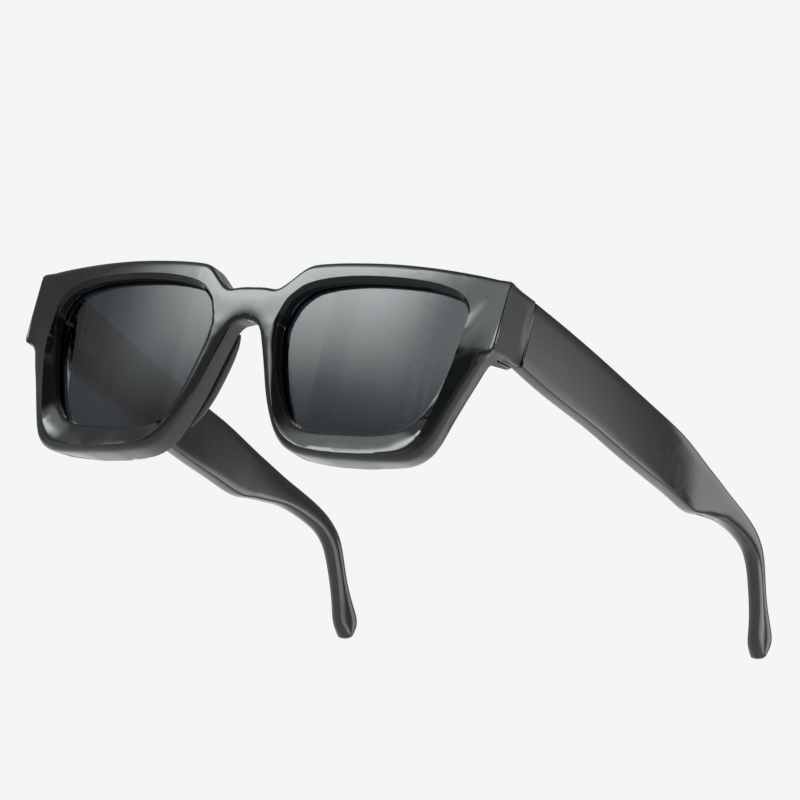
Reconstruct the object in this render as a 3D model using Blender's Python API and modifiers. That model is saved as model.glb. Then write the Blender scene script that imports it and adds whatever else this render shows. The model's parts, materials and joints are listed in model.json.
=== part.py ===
# Square sunglasses: a thick moulded front with a sculpted face, two tinted lenses held in
# grooves, two nose pads, and two temples that fold on five-barrel hinges.
#
# X runs across the face with +X to the wearer's left, the front looks along -Y and Z is up.
# The rims and the temple tips stand on z = 0. The origin lies on that plane under the middle
# of the object. Every piece is drawn with y = 0 at the middle of the front's face, and
# add_object moves it back to the origin.

import math

import bmesh
import bpy
from mathutils import Matrix, Vector

# Front: overall size, thickness, and the sweep of its face towards the ears.
FRONT_WIDTH = 0.1462
FRONT_HEIGHT = 0.0513
FACE_SWEEP = 0.0067
RIM_DEPTH = 0.0064
EDGE_ROLL_WIDTH = 0.0020
EDGE_ROLL_DEPTH = 0.0017
BEVEL_DEPTH = 0.0012
CREST_HEIGHT = 0.0020
SIDE_DRAFT = 0.0012
REAR_CHAMFER = 0.0006
OPENING_CHAMFER = 0.0003
END_PIECE_DEPTH = 0.0120
END_PIECE_DROP = 0.0005
END_PIECE_BOTTOM = 0.0312
END_PIECE_LIFT_SHARE = 0.65

# Lenses and the groove that holds them.
LENS_THICKNESS = 0.0014
LENS_RECESS = 0.0037
LENS_CURVE_RADIUS = 0.80
GROOVE_DEPTH = 0.0008
FIT_GAP = 0.0003

# Nose pads.
PAD_HEIGHT = 0.0034
PAD_BULGE = 0.0002

# Temples.
TEMPLE_REACH = 0.1390
TEMPLE_THICKNESS = 0.0041
TEMPLE_EDGE_RADIUS = 0.0006
TEMPLE_TIP_RADIUS = 0.0017
JOINT_GAP = 0.00045
TEMPLE_END_CHAMFER = 0.0003

# Hinges: five barrels on a vertical screw, with a leaf on each side.
BARREL_RADIUS = 0.00175
BARREL_HEIGHT = 0.0017
BARREL_GAP = 0.0003
BARREL_COUNT = 5
LEAF_THICKNESS = 0.0010
FRONT_LEAF_LENGTH = 0.0052
TEMPLE_LEAF_LENGTH = 0.0110
HINGE_SCREW_RADIUS = 0.00065
HINGE_SCREW_HEAD_RADIUS = 0.0013
HINGE_SCREW_HEAD_HEIGHT = 0.0007
LEAF_SCREW_RADIUS = 0.0005
LEAF_SCREW_HEAD_RADIUS = 0.0010
LEAF_SCREW_HEAD_HEIGHT = 0.0005
LEAF_SCREW_LENGTH = 0.0030
SCREW_SLOT_WIDTH = 0.0003
SCREW_SLOT_DEPTH = 0.0003
HINGE_Z_SHARE = 0.82
LEAF_EDGE_SHARE = 0.2
LEAF_SCREW_SPREAD_SHARE = 0.25
SCREW_EDGE_SHARE = 0.33
SCREW_CONE_SHARE = 0.7
LEAF_SLOT_SHARE = 0.8

# Core wires inside the temples.
WIRE_RADIUS = 0.0006

# One overrun for everything that cuts through something else, and the distance under which
# two points of a shape count as one.
OVERRUN = 0.0005
SAME_POINT = 0.00002

# How round the small pieces are, how sharp an edge stays sharp, and how far from straight
# back a face may look and still count as one of the rim's rear faces.
ROUND_SIDES = 20
SMALL_SIDES = 12
SHARP_ANGLE = math.radians(35)
REAR_ANGLE = math.radians(60)

# Rows go round one rim, from the top of the bridge over the top, down the outer side, along
# the bottom, up the nose side to the arch and back up the middle of the bridge.
# Each row: outline x, z and lens opening x, z, as shares of half the width and of the height;
# then shares of the edge roll's width and depth, the place of the ridge between outline and
# opening, and shares of the bevel's depth, of the crest's height and of the rim's depth.
RIM_SHARES = (
    (0.000, 0.855, 0.167, 0.773, 0.80, 0.60, 0.93, 0.50, 0.00, 0.98),
    (0.057, 0.853, 0.179, 0.798, 0.80, 0.60, 0.90, 0.55, 0.00, 0.98),
    (0.103, 0.849, 0.193, 0.817, 0.80, 0.60, 0.85, 0.60, 0.00, 0.98),
    (0.143, 0.886, 0.208, 0.833, 0.75, 0.60, 0.81, 0.70, 0.00, 0.99),
    (0.182, 0.937, 0.224, 0.848, 0.75, 0.60, 0.81, 0.80, 0.00, 1.00),
    (0.224, 0.974, 0.249, 0.864, 0.75, 0.60, 0.83, 0.85, 0.00, 1.01),
    (0.301, 0.989, 0.307, 0.884, 0.75, 0.60, 0.80, 0.90, 0.00, 1.03),
    (0.410, 0.997, 0.413, 0.903, 0.75, 0.60, 0.78, 0.90, 0.00, 1.05),
    (0.547, 1.000, 0.547, 0.907, 0.75, 0.60, 0.78, 0.90, 0.00, 1.05),
    (0.684, 0.993, 0.677, 0.898, 0.75, 0.60, 0.79, 0.90, 0.00, 1.03),
    (0.793, 0.981, 0.770, 0.874, 0.80, 0.60, 0.81, 0.85, 0.00, 1.03),
    (0.882, 0.967, 0.821, 0.848, 0.90, 0.55, 0.87, 0.80, 0.00, 1.03),
    (0.950, 0.954, 0.849, 0.816, 1.10, 0.50, 0.91, 0.75, 0.00, 1.03),
    (0.993, 0.945, 0.864, 0.780, 1.30, 0.45, 0.94, 0.70, 0.00, 1.03),
    (1.000, 0.931, 0.868, 0.760, 1.40, 0.45, 0.95, 0.65, 0.05, 1.03),
    (1.000, 0.815, 0.873, 0.710, 1.40, 0.45, 1.00, 0.35, 0.20, 1.03),
    (1.000, 0.718, 0.868, 0.659, 1.40, 0.45, 0.97, 0.60, 0.40, 1.03),
    (1.000, 0.623, 0.862, 0.608, 1.30, 0.50, 0.93, 0.80, 0.55, 1.03),
    (0.998, 0.604, 0.860, 0.593, 1.10, 0.60, 0.90, 0.85, 0.62, 1.03),
    (0.974, 0.579, 0.854, 0.567, 1.05, 0.80, 0.87, 0.90, 0.65, 1.03),
    (0.950, 0.538, 0.849, 0.522, 1.00, 0.95, 0.81, 0.95, 0.68, 1.03),
    (0.929, 0.456, 0.831, 0.444, 1.00, 1.00, 0.72, 1.00, 0.65, 1.03),
    (0.904, 0.366, 0.811, 0.358, 0.95, 1.00, 0.63, 1.00, 0.60, 1.03),
    (0.875, 0.249, 0.785, 0.272, 0.90, 1.00, 0.52, 1.00, 0.50, 1.03),
    (0.849, 0.148, 0.760, 0.226, 0.90, 1.00, 0.44, 1.05, 0.42, 1.03),
    (0.824, 0.082, 0.736, 0.192, 0.85, 1.00, 0.38, 1.08, 0.35, 1.03),
    (0.787, 0.037, 0.700, 0.166, 0.80, 0.95, 0.31, 1.00, 0.30, 1.10),
    (0.730, 0.012, 0.664, 0.149, 0.75, 0.90, 0.26, 0.92, 0.28, 1.20),
    (0.629, 0.002, 0.600, 0.136, 0.70, 0.85, 0.23, 0.88, 0.28, 1.29),
    (0.560, 0.000, 0.560, 0.133, 0.65, 0.80, 0.21, 0.86, 0.30, 1.31),
    (0.465, 0.000, 0.470, 0.131, 0.65, 0.80, 0.20, 0.86, 0.30, 1.31),
    (0.402, 0.006, 0.408, 0.131, 0.70, 0.85, 0.22, 0.88, 0.30, 1.29),
    (0.328, 0.020, 0.347, 0.139, 0.75, 0.90, 0.28, 0.92, 0.30, 1.24),
    (0.271, 0.053, 0.298, 0.162, 0.80, 1.00, 0.38, 1.00, 0.24, 1.19),
    (0.227, 0.115, 0.260, 0.201, 0.85, 1.00, 0.43, 0.95, 0.18, 1.17),
    (0.187, 0.207, 0.228, 0.269, 0.90, 1.00, 0.50, 0.75, 0.13, 1.13),
    (0.152, 0.316, 0.200, 0.347, 0.90, 0.95, 0.60, 0.45, 0.08, 1.11),
    (0.114, 0.470, 0.168, 0.468, 0.85, 0.85, 0.75, 0.16, 0.03, 1.07),
    (0.086, 0.579, 0.152, 0.561, 0.80, 0.75, 0.80, 0.35, 0.00, 1.02),
    (0.067, 0.642, 0.145, 0.624, 0.80, 0.65, 0.84, 0.35, 0.00, 0.99),
    (0.040, 0.679, 0.143, 0.665, 0.80, 0.60, 0.88, 0.40, 0.00, 0.98),
    (0.000, 0.693, 0.147, 0.692, 0.80, 0.60, 0.91, 0.45, 0.00, 0.98),
    (0.000, 0.724, 0.150, 0.710, 0.00, 0.00, 0.92, 0.50, 0.00, 0.98),
    (0.000, 0.824, 0.157, 0.738, 0.00, 0.00, 0.93, 0.50, 0.00, 0.98),
)
RIM_STEPS = 2
# Out to the first share of half the width the rim's edges follow the outline's own
# direction, and from the second share on they follow the rows.
BRIDGE_SHARES = (0.13, 0.22)
BRIDGE_MIDDLE_SHARE = 0.77
LENS_CENTRE_SHARE = 0.51
LENS_RING_SHARES = (1.0, 0.66, 0.33)
ROLL_ANGLE_SHARES = (0.0, 1 / 3, 2 / 3, 1.0)
# The rear edge's chamfer fades out where the roll's depth share falls below this.
FULL_EDGE_SHARE = 0.5

# The stretch of rim rows that carries a nose pad, and the pad's height and width along it.
PAD_FIRST_ROW = 34.6
PAD_LAST_ROW = 39.2
PAD_STATIONS = 11
# The pad swells from its first to its last station as this part of a half turn's sine,
# raised to the power, and its ends are narrower by the taper's share.
PAD_SWELL_SHARES = (0.06, 0.94)
PAD_SWELL_POWER = 0.6
PAD_TAPER_SHARE = 0.5
PAD_MIDDLE_SHARE = 0.5
# Points of the pad's section: the place across the rim, counted from its nose side, the
# share of the bulge towards the nose, and the share of the pad's height.
PAD_SECTION_SHARES = (
    (0.08, 0.0, 0.0),
    (0.00, 0.7, 0.22),
    (0.00, 1.0, 0.48),
    (0.08, 0.8, 0.74),
    (0.26, 0.4, 0.94),
    (0.50, 0.0, 1.00),
    (0.74, 0.0, 0.86),
    (0.90, 0.0, 0.52),
    (0.94, 0.0, 0.0),
)

# Rows go along the temple from the joint to the tip. Each row: upper edge y, z and lower edge
# y, z, as shares of the temple's reach and top height; then the outer face's x as a share of
# half the front's width, a share of the thickness, and the mix from the flat bar's edge
# radius to the round tip's.
TEMPLE_SHARES = (
    (0.000, 1.000, 0.000, 0.646, 1.000, 1.00, 0.0),
    (0.108, 0.963, 0.107, 0.595, 1.014, 1.00, 0.0),
    (0.234, 0.915, 0.236, 0.566, 1.024, 1.00, 0.0),
    (0.346, 0.871, 0.352, 0.525, 1.027, 1.00, 0.0),
    (0.450, 0.836, 0.455, 0.500, 1.026, 1.00, 0.0),
    (0.517, 0.812, 0.524, 0.488, 1.021, 1.00, 0.05),
    (0.578, 0.775, 0.584, 0.471, 1.014, 1.00, 0.1),
    (0.619, 0.748, 0.615, 0.473, 1.008, 1.00, 0.2),
    (0.658, 0.727, 0.641, 0.493, 1.003, 1.00, 0.3),
    (0.712, 0.695, 0.681, 0.514, 0.994, 1.00, 0.45),
    (0.761, 0.672, 0.726, 0.536, 0.984, 0.98, 0.6),
    (0.804, 0.651, 0.775, 0.532, 0.975, 0.96, 0.75),
    (0.847, 0.619, 0.817, 0.514, 0.966, 0.95, 0.9),
    (0.880, 0.573, 0.845, 0.491, 0.959, 0.94, 1.0),
    (0.903, 0.516, 0.867, 0.451, 0.953, 0.93, 1.0),
    (0.922, 0.436, 0.886, 0.391, 0.949, 0.92, 1.0),
    (0.948, 0.312, 0.912, 0.271, 0.944, 0.91, 1.0),
    (0.975, 0.217, 0.930, 0.170, 0.940, 0.91, 1.0),
    (0.997, 0.146, 0.941, 0.086, 0.936, 0.93, 1.0),
    (1.000, 0.091, 0.952, 0.041, 0.933, 0.94, 1.0),
    (0.994, 0.040, 0.969, 0.000, 0.931, 0.92, 1.0),
)
TEMPLE_STEPS = 2
TEMPLE_TOP_SHARE = 0.927
MOST_RADIUS_SHARE = 0.48
# The rounded tip: how far each ring lies on towards the tip's end, and how wide it is.
TIP_REACH = 0.0006
TIP_RING_SHARES = ((0.55, 0.86), (0.88, 0.58), (1.0, 0.28))

# The core wire: the place between the temple's lower (0) and upper (1) edge along its rows.
WIRE_ROW_SHARES = (
    (0.0, 0.18),
    (1.0, 0.22),
    (3.0, 0.38),
    (5.0, 0.46),
    (7.0, 0.50),
    (9.0, 0.50),
    (11.0, 0.50),
    (13.0, 0.50),
    (14.0, 0.50),
    (15.0, 0.50),
    (16.0, 0.50),
)

# Sizes that follow from the ones above.
HALF_WIDTH = FRONT_WIDTH / 2
TEMPLE_TOP = FRONT_HEIGHT * TEMPLE_TOP_SHARE
JOINT_Y = FACE_SWEEP + END_PIECE_DEPTH
TEMPLE_FRONT_Y = JOINT_Y + JOINT_GAP
INNER_FACE_X = HALF_WIDTH - TEMPLE_THICKNESS
AXIS_X = INNER_FACE_X - FIT_GAP - BARREL_RADIUS
AXIS_Y = JOINT_Y + JOINT_GAP / 2
HINGE_HEIGHT = BARREL_COUNT * BARREL_HEIGHT + (BARREL_COUNT - 1) * BARREL_GAP
HINGE_Z = TEMPLE_TOP * HINGE_Z_SHARE
FRAME_CENTRE_Y = (TEMPLE_FRONT_Y + TEMPLE_REACH) / 2


def catmull_rom(before, start, end, after, t):
    """A point between start and end on the curve that passes through all four rows."""
    return tuple(
        0.5
        * (
            2 * b
            + (c - a) * t
            + (2 * a - 5 * b + 4 * c - d) * t * t
            + (3 * b - a - 3 * c + d) * t * t * t
        )
        for a, b, c, d in zip(before, start, end, after)
    )


def row_at(rows, place, closed):
    """The row at a fractional place along the table."""
    last = len(rows)
    index = math.floor(place)
    picks = [index - 1, index, index + 1, index + 2]
    if closed:
        picks = [pick % last for pick in picks]
    else:
        picks = [min(max(pick, 0), last - 1) for pick in picks]
    return catmull_rom(*(rows[pick] for pick in picks), place - index)


def face_y(x):
    """How far the front's face lies behind its middle."""
    return FACE_SWEEP * (x / HALF_WIDTH) ** 2


class RimStation:
    """One section of the rim, from the outline to the lens opening."""

    def __init__(self, place):
        row = row_at(RIM_SHARES, place, closed=True)
        self.outline = Vector(
            (
                min(max(row[0], 0), 1) * HALF_WIDTH,
                max(row[1], 0) * FRONT_HEIGHT,
            )
        )
        self.opening = Vector((row[2] * HALF_WIDTH, row[3] * FRONT_HEIGHT))
        self.roll_width = max(row[4], 0) * EDGE_ROLL_WIDTH
        self.roll_depth = max(row[5], 0) * EDGE_ROLL_DEPTH
        self.ridge = min(row[6], 1)
        self.bevel = max(row[7], 0) * BEVEL_DEPTH
        self.crest = max(row[8], 0) * CREST_HEIGHT
        self.depth = row[9] * RIM_DEPTH
        self.edge = REAR_CHAMFER * min(max(row[5], 0) / FULL_EDGE_SHARE, 1)

    def inside(self, inset):
        """The point that lies this far in from the outline, the way its edges run."""
        return self.outline + self.inward * inset

    def width(self):
        return (self.opening - self.outline).length


def inward_direction(station, ahead, behind):
    """The way in from the outline: square to it at the bridge, along the row elsewhere."""
    if station.outline.x == 0:
        up = BRIDGE_MIDDLE_SHARE * FRONT_HEIGHT > station.outline.y
        return Vector((0, 1 if up else -1))
    along = (ahead.outline - behind.outline).normalized()
    square = Vector((along.y, -along.x))
    start, end = BRIDGE_SHARES
    part = (end - station.outline.x / HALF_WIDTH) / (end - start)
    row = (station.opening - station.outline).normalized()
    return row.lerp(square, min(max(part, 0), 1)).normalized()


def rim_stations():
    """The sections round one rim, with only the table's own rows across the bridge."""
    count = len(RIM_SHARES) * RIM_STEPS
    places = [index / RIM_STEPS for index in range(count)]
    stations = [RimStation(place) for place in places]
    kept = zip(stations, places)
    stations = [one for one, place in kept if one.outline.x > 0 or place == int(place)]
    for index, station in enumerate(stations):
        ahead, behind = stations[(index + 1) % len(stations)], stations[index - 1]
        station.inward = inward_direction(station, ahead, behind)
        along = (ahead.opening - behind.opening).normalized()
        station.out = Vector((-along.y, along.x))
    for index, station in enumerate(stations):
        if station.roll_width == 0:
            edge = stations[index - 1]
            if edge.roll_width == 0:
                edge = stations[(index + 1) % len(stations)]
            station.outline = edge.inside(edge.roll_width)
    return stations


def lens_front_y(point):
    """The lens follows the sweep of the face and has a slight curve of its own."""
    rise = point.y - LENS_CENTRE_SHARE * FRONT_HEIGHT
    return face_y(point.x) + LENS_RECESS + rise * rise / (2 * LENS_CURVE_RADIUS)


def rim_section(station):
    """The closed section of the rim at one station."""
    opening, out = station.opening, station.out
    lip = opening + out * OPENING_CHAMFER
    ridge = station.outline.lerp(lip, station.ridge)
    reach = (ridge - station.outline).length
    roll = min(station.roll_width, reach)
    lift = station.crest * roll / reach
    section = []
    for share in ROLL_ANGLE_SHARES:
        angle = share * math.pi / 2
        flat = station.inside(roll * (1 - math.cos(angle)))
        drop = station.roll_depth - (station.roll_depth + lift) * math.sin(angle)
        section.append((flat, face_y(flat.x) + drop))
    section.append((ridge, face_y(ridge.x) - station.crest))
    seat = opening + out * GROOVE_DEPTH
    front = lens_front_y(opening)
    rear = face_y(opening.x) + station.depth
    section += [
        (lip, face_y(lip.x) + station.bevel),
        (opening, face_y(opening.x) + station.bevel + OPENING_CHAMFER),
        (opening, front - FIT_GAP),
        (seat, front - FIT_GAP),
        (seat, front + LENS_THICKNESS + FIT_GAP),
        (opening, front + LENS_THICKNESS + FIT_GAP),
        (opening, rear - OPENING_CHAMFER),
        (lip, face_y(lip.x) + station.depth),
    ]
    draft = SIDE_DRAFT * max(-station.inward.x, 0) * min(station.bevel / BEVEL_DEPTH, 1)
    inner = station.inside(draft + station.edge)
    section.append((inner, face_y(inner.x) + station.depth))
    outer = station.inside(draft)
    section.append((outer, face_y(outer.x) + station.depth - station.edge))
    return [Vector((flat.x, y, flat.y)) for flat, y in section]


def loft(bm, sections, closed_run, closed_section=True):
    """Quads between neighbouring sections. Returns the sections' vertices."""
    rings = [[bm.verts.new(point) for point in section] for section in sections]
    runs = len(rings) if closed_run else len(rings) - 1
    size = len(rings[0])
    spans = size if closed_section else size - 1
    for run in range(runs):
        first, second = rings[run], rings[(run + 1) % len(rings)]
        for index in range(spans):
            following = (index + 1) % size
            bm.faces.new((first[index], first[following], second[following], second[index]))
    return rings


def finish_mesh(bm, name):
    """Cleans a shape, turns its faces outwards and makes a mesh of it."""
    bmesh.ops.remove_doubles(bm, verts=bm.verts, dist=SAME_POINT)
    bmesh.ops.dissolve_degenerate(bm, dist=SAME_POINT, edges=bm.edges)
    bmesh.ops.recalc_face_normals(bm, faces=bm.faces)
    mesh = bpy.data.meshes.new(name)
    bm.to_mesh(mesh)
    bm.free()
    return mesh


def smooth(obj):
    obj.data.shade_smooth()
    obj.data.set_sharp_from_angle(angle=SHARP_ANGLE)


def add_object(name, mesh, collection, material=None, origin=(0, 0, 0)):
    """Puts a mesh, drawn in front coordinates, in the collection with its origin given."""
    origin = Vector(origin)
    mesh.transform(Matrix.Translation(-origin))
    obj = bpy.data.objects.new(name, mesh)
    collection.objects.link(obj)
    obj.location = origin - Vector((0, FRAME_CENTRE_Y, 0))
    if material:
        mesh.materials.clear()
        mesh.materials.append(material)
    return obj


def mirrored_mesh(mesh, name):
    """A copy of a mesh for the other side of the face."""
    copy = mesh.copy()
    copy.name = name
    copy.transform(Matrix.Scale(-1, 4, Vector((1, 0, 0))))
    copy.flip_normals()
    return copy


def box(bm, low, high):
    """A box between two corners, from the cube primitive."""
    low, high = Vector(low), Vector(high)
    made = bmesh.ops.create_cube(bm, size=1)
    size = high - low
    bmesh.ops.scale(bm, vec=size, verts=made["verts"])
    bmesh.ops.translate(bm, vec=(low + high) / 2, verts=made["verts"])
    return made["verts"]


def rod(bm, start, end, radius, sides, end_radius=None):
    """A cylinder or cone from one point to another, from the cone primitive."""
    start, end = Vector(start), Vector(end)
    made = bmesh.ops.create_cone(
        bm,
        cap_ends=True,
        segments=sides,
        radius1=radius,
        radius2=radius if end_radius is None else end_radius,
        depth=(end - start).length,
    )
    turn = (end - start).to_track_quat("Z", "Y").to_matrix().to_4x4()
    bmesh.ops.transform(
        bm, matrix=Matrix.Translation((start + end) / 2) @ turn, verts=made["verts"]
    )
    return made["verts"]


def cutter_object(name, bm, cutters, origin=(0, 0, 0)):
    cutter = add_object(name, finish_mesh(bm, name), cutters, origin=origin)
    cutter.hide_render = True
    cutter.display_type = "WIRE"
    return cutter


def boolean(obj, other, operation):
    modifier = obj.modifiers.new(f"{operation.lower()} {other.name}", "BOOLEAN")
    modifier.operation = operation
    modifier.solver = "EXACT"
    modifier.object = other
    modifier.use_hole_tolerant = False


def evaluated_mesh(obj, name):
    """The object's mesh with its modifiers applied."""
    graph = bpy.context.evaluated_depsgraph_get()
    graph.update()
    return bpy.data.meshes.new_from_object(obj.evaluated_get(graph))


def apply_modifiers(obj):
    old = obj.data
    obj.data = evaluated_mesh(obj, obj.name)
    obj.modifiers.clear()
    bpy.data.meshes.remove(old)


def make_material(name, colour, roughness, metallic=0.0, alpha=1.0):
    material = bpy.data.materials.new(name)
    material.use_nodes = True
    shader = material.node_tree.nodes["Principled BSDF"]
    shader.inputs["Base Color"].default_value = (*colour, 1)
    shader.inputs["Roughness"].default_value = roughness
    shader.inputs["Metallic"].default_value = metallic
    shader.inputs["Alpha"].default_value = alpha
    return material


# Front frame


def rear_faces(bm, least_x):
    """The rear faces of the rim's outer end, at least this far out."""
    found = []
    for face in bm.faces:
        centre = face.calc_center_median()
        behind = centre.y - face_y(centre.x) > RIM_DEPTH / 2
        rear = face.normal.y > math.cos(REAR_ANGLE)
        if centre.x > least_x and behind and rear:
            found.append(face)
    return found


def extend_end_piece(bm):
    """Draws the rear of the rim's outer end back to the temple joint."""
    bmesh.ops.bisect_plane(
        bm,
        geom=[*bm.verts, *bm.edges, *bm.faces],
        dist=SAME_POINT,
        plane_co=(INNER_FACE_X, 0, 0),
        plane_no=(1, 0, 0),
    )
    bm.normal_update()
    rear = rear_faces(bm, INNER_FACE_X)
    moved = bmesh.ops.extrude_face_region(bm, geom=rear)["geom"]
    for vert in (item for item in moved if isinstance(item, bmesh.types.BMVert)):
        below = max(END_PIECE_BOTTOM - vert.co.z, 0)
        vert.co.y = JOINT_Y
        vert.co.z += below * END_PIECE_LIFT_SHARE - END_PIECE_DROP
    bmesh.ops.delete(bm, geom=rear, context="FACES")


def front_frame(stations, parts, cutters, material):
    bm = bmesh.new()
    loft(bm, [rim_section(station) for station in stations], closed_run=True)
    for vert in bm.verts:
        if vert.co.x < SAME_POINT:
            vert.co.x = 0
    bmesh.ops.remove_doubles(bm, verts=bm.verts, dist=SAME_POINT)
    middle = [face for face in bm.faces if all(vert.co.x == 0 for vert in face.verts)]
    bmesh.ops.delete(bm, geom=middle, context="FACES")
    bmesh.ops.recalc_face_normals(bm, faces=bm.faces)
    extend_end_piece(bm)
    frame = add_object("front_frame", finish_mesh(bm, "front_frame"), parts, material)
    mirror = frame.modifiers.new("other half", "MIRROR")
    mirror.merge_threshold = SAME_POINT
    bores = bmesh.new()
    for y, z in front_screw_places():
        for side in (1, -1):
            rod(
                bores,
                (side * (INNER_FACE_X - OVERRUN), y, z),
                (side * (INNER_FACE_X + LEAF_SCREW_LENGTH), y, z),
                LEAF_SCREW_RADIUS + FIT_GAP,
                SMALL_SIDES,
            )
    boolean(frame, cutter_object("front_screw_bores", bores, cutters), "DIFFERENCE")
    apply_modifiers(frame)
    smooth(frame)
    return frame


# Lenses


def lens_mesh(stations):
    edge = [
        station.opening + station.out * (GROOVE_DEPTH - FIT_GAP)
        for station in stations[::RIM_STEPS]
    ]
    centre = sum(edge, Vector((0, 0))) / len(edge)
    bm = bmesh.new()
    rings = []
    for share in LENS_RING_SHARES:
        rings.append([centre + (point - centre) * share for point in edge])
    front = [[Vector((p.x, lens_front_y(p), p.y)) for p in ring] for ring in rings]
    back = Vector((0, LENS_THICKNESS, 0))
    rear = [[point + back for point in ring] for ring in reversed(front)]
    made = loft(bm, front[::-1] + rear[::-1], closed_run=False)
    middle = Vector((centre.x, lens_front_y(centre), centre.y))
    for ring, point in ((made[0], middle), (made[-1], middle + back)):
        hub = bm.verts.new(point)
        for index, vert in enumerate(ring):
            bm.faces.new((vert, ring[index - 1], hub))
    return finish_mesh(bm, "lens")


def lenses(stations, parts, material):
    mesh = lens_mesh(stations)
    other = mirrored_mesh(mesh, "lens_right")
    for name, data in (("lens_left", mesh), ("lens_right", other)):
        smooth(add_object(name, data, parts, material))


# Nose pads


def pad_mesh():
    sections = []
    for index in range(PAD_STATIONS):
        share = index / (PAD_STATIONS - 1)
        place = PAD_FIRST_ROW + (PAD_LAST_ROW - PAD_FIRST_ROW) * share
        station = RimStation(place)
        first, last = PAD_SWELL_SHARES
        swell = math.sin(math.pi * (first + (last - first) * share)) ** PAD_SWELL_POWER
        width = station.width()
        across = (station.opening - station.outline).normalized()
        taper = PAD_TAPER_SHARE * (1 - swell)
        section = []
        for place_share, bulge, height in PAD_SECTION_SHARES:
            squeezed = place_share + (PAD_MIDDLE_SHARE - place_share) * taper
            flat = station.outline + across * (squeezed * width - bulge * PAD_BULGE * swell)
            y = face_y(flat.x) + station.depth + FIT_GAP + height * swell * PAD_HEIGHT
            section.append(Vector((flat.x, y, flat.y)))
        sections.append(section)
    bm = bmesh.new()
    rings = loft(bm, sections, closed_run=False)
    for ring in (rings[0], rings[-1]):
        bm.faces.new(ring)
    return finish_mesh(bm, "nose_pad")


def nose_pads(parts, material):
    mesh = pad_mesh()
    other = mirrored_mesh(mesh, "nose_pad_right")
    for name, data in (("nose_pad_left", mesh), ("nose_pad_right", other)):
        smooth(add_object(name, data, parts, material))


# Temples


def temple_section(row, chamfer=0.0):
    """A rounded rectangle between the upper and lower edge, across the temple's thickness."""
    upper = Vector((TEMPLE_FRONT_Y + row[0] * TEMPLE_REACH, max(row[1], 0) * TEMPLE_TOP))
    lower = Vector((TEMPLE_FRONT_Y + row[2] * TEMPLE_REACH, max(row[3], 0) * TEMPLE_TOP))
    rise = (upper - lower).normalized()
    outer = row[4] * HALF_WIDTH - chamfer
    inner = row[4] * HALF_WIDTH - row[5] * TEMPLE_THICKNESS + chamfer
    radius = TEMPLE_EDGE_RADIUS + (TEMPLE_TIP_RADIUS - TEMPLE_EDGE_RADIUS) * row[6]
    radius = min(radius, (outer - inner) * MOST_RADIUS_SHARE)
    upper = upper - rise * chamfer
    lower = lower + rise * chamfer
    points = []
    corners = ((outer, upper, 0), (inner, upper, 1), (inner, lower, 2), (outer, lower, 3))
    for x, edge, quarter in corners:
        for step in (0, 1, 2):
            angle = math.pi / 2 * (quarter + step / 2)
            side = 1 if quarter in (0, 3) else -1
            up = 1 if quarter in (0, 1) else -1
            flat = edge + rise * up * radius * (abs(math.sin(angle)) - 1)
            points.append(Vector((x + side * radius * (abs(math.cos(angle)) - 1), flat.x, flat.y)))
    return points


def temple_rows():
    count = (len(TEMPLE_SHARES) - 1) * TEMPLE_STEPS
    return [row_at(TEMPLE_SHARES, i / TEMPLE_STEPS, closed=False) for i in range(count + 1)]


def temple_mesh():
    rows = temple_rows()
    first = temple_section(rows[0])
    ends = [point + Vector((0, TEMPLE_END_CHAMFER, 0)) for point in first]
    sections = [temple_section(rows[0], TEMPLE_END_CHAMFER), ends]
    sections += [temple_section(row) for row in rows[1:]]
    last = sections[-1]
    centre = sum(last, Vector()) / len(last)
    before = sum(sections[-2], Vector()) / len(last)
    onward = (centre - before).normalized() * TIP_REACH
    for reach, width in TIP_RING_SHARES:
        ring = [centre + onward * reach + (point - centre) * width for point in last]
        sections.append([Vector((p.x, p.y, max(p.z, 0))) for p in ring])
    bm = bmesh.new()
    rings = loft(bm, sections, closed_run=False)
    for ring in (rings[0], rings[-1]):
        bm.faces.new(ring)
    return finish_mesh(bm, "temple")


def wire_route():
    """Points along the middle of the temple's thickness, low at the hinge end."""
    points = []
    for place, height in WIRE_ROW_SHARES:
        row = row_at(TEMPLE_SHARES, place, closed=False)
        upper = Vector((row[0] * TEMPLE_REACH, row[1] * TEMPLE_TOP))
        lower = Vector((row[2] * TEMPLE_REACH, row[3] * TEMPLE_TOP))
        flat = lower + (upper - lower) * height
        x = row[4] * HALF_WIDTH - row[5] * TEMPLE_THICKNESS / 2
        points.append(Vector((x, TEMPLE_FRONT_Y + flat.x, flat.y)))
    return points


def tube_mesh(name, points, radius):
    """A round wire along the points, with closed ends, as a mesh."""
    curve = bpy.data.curves.new(name, "CURVE")
    curve.dimensions = "3D"
    curve.bevel_depth = radius
    curve.bevel_resolution = 2
    curve.use_fill_caps = True
    spline = curve.splines.new("POLY")
    spline.points.add(len(points) - 1)
    for slot, point in zip(spline.points, points):
        slot.co = (*point, 1)
    holder = bpy.data.objects.new(name, curve)
    bpy.context.scene.collection.objects.link(holder)
    mesh = evaluated_mesh(holder, name)
    bpy.data.objects.remove(holder)
    bpy.data.curves.remove(curve)
    bm = bmesh.new()
    bm.from_mesh(mesh)
    bpy.data.meshes.remove(mesh)
    return finish_mesh(bm, name)


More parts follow.
